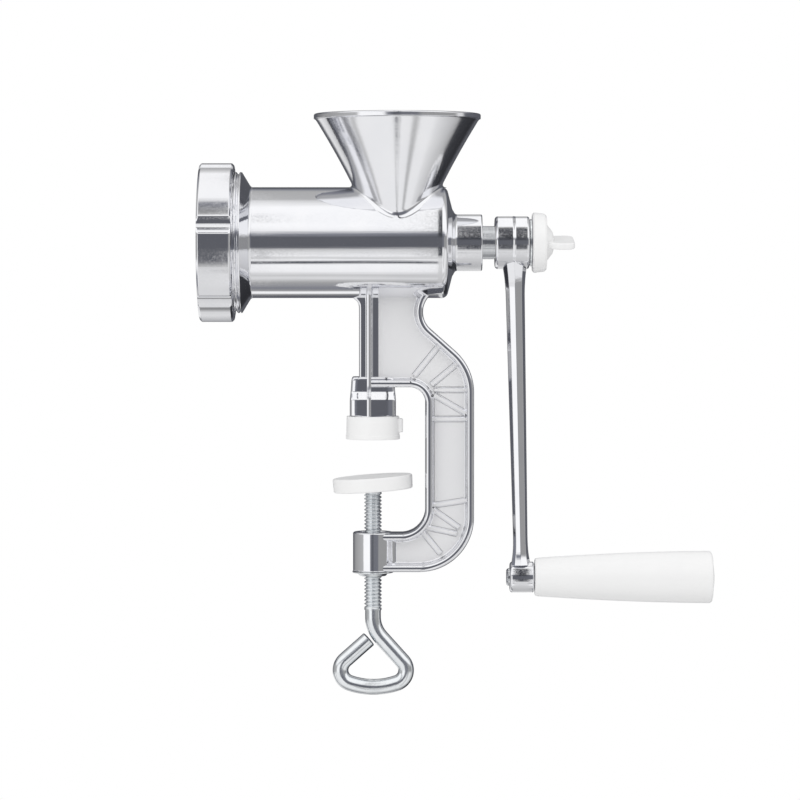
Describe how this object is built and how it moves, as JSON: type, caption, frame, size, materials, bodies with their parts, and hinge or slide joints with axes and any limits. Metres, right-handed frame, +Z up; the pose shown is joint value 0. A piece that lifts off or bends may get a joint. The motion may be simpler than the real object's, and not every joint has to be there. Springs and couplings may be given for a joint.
{
  "type": "manual meat grinder",
  "caption": "Hand cranked meat grinder with a round hopper, a worm in a barrel, a perforated plate under a ring nut, a cranked grip and a screw clamp for a table edge.",
  "frame": {"origin": "centre of the upper jaw pad's working (lower) face, on the axis of the clamp screw", "axes": "+Z up along the clamp screw, +X towards the crank, -X towards the outlet"},
  "size_m": [0.283, 0.0916, 0.3199],
  "materials": {
    "cast_aluminium": "polished",
    "steel": "ground",
    "zinc_plate": "zinc plated",
    "white_plastic": "satin",
    "nylon": "natural"
  },
  "bodies": {
    "frame_body": {"body_casting": "cast_aluminium", "shaft_bush": "nylon", "plate_key": "steel", "thread_insert": "zinc_plate", "upper_pad": "white_plastic"},
    "drive": {"auger": "cast_aluminium", "auger_shaft": "steel", "knife_stud": "steel", "cutting_knife": "steel", "thrust_washer": "nylon", "crank_arm": "cast_aluminium", "grip_pin": "steel", "grip_washer": "steel"},
    "grip": {"handle_grip": "white_plastic", "grip_cap": "white_plastic"},
    "plate": {"grinding_plate": "steel"},
    "ring": {"ring_nut": "cast_aluminium"},
    "knob_carrier": {"knob_washer": "zinc_plate"},
    "knob": {"wing_knob": "white_plastic", "knob_stud": "zinc_plate"},
    "screw_carrier": {"screw_washer": "steel"},
    "screw": {"clamp_screw": "zinc_plate"},
    "pad": {"pad_disc": "steel", "lower_pad": "white_plastic"}
  },
  "joints": [
    {"name": "crank_spin", "type": "hinge", "parent": "frame_body", "child": "drive", "pos_m": [0, 0, 0.108], "axis": [1, 0, 0], "continuous": true},
    {"name": "grip_spin", "type": "hinge", "parent": "drive", "child": "grip", "pos_m": [0.1, 0, -0.0762], "axis": [1, 0, 0], "continuous": true},
    {"name": "ring_travel", "type": "slide", "parent": "frame_body", "child": "plate", "axis": [-1, 0, 0], "range_m": [0, 0.0101]},
    {"name": "ring_turn", "type": "hinge", "parent": "plate", "child": "ring", "pos_m": [-0.09, 0, 0.108], "axis": [-1, 0, 0], "range_deg": [0, 1440]},
    {"name": "knob_travel", "type": "slide", "parent": "drive", "child": "knob_carrier", "axis": [1, 0, 0], "range_m": [0, 0.0126]},
    {"name": "knob_turn", "type": "hinge", "parent": "knob_carrier", "child": "knob", "pos_m": [0.09, 0, 0.108], "axis": [1, 0, 0], "range_deg": [0, 3600]},
    {"name": "clamp_travel", "type": "slide", "parent": "frame_body", "child": "screw_carrier", "axis": [0, 0, 1], "range_m": [-0.0181, 0.0189]},
    {"name": "clamp_turn", "type": "hinge", "parent": "screw_carrier", "child": "screw", "pos_m": [0, 0, -0.06], "axis": [0, 0, 1], "range_deg": [-3240, 3384]},
    {"name": "pad_tilt", "type": "hinge", "parent": "screw_carrier", "child": "pad", "pos_m": [0, 0, -0.0257], "axis": [0, 1, 0], "range_deg": [0, 8]}
  ],
  "couplings": [
    {"joint": "ring_travel", "follows": "ring_turn", "m_per_rad": 0.00039789},
    {"joint": "knob_travel", "follows": "knob_turn", "m_per_rad": 0.00019894},
    {"joint": "clamp_travel", "follows": "clamp_turn", "m_per_rad": 0.00031831}
  ]
}
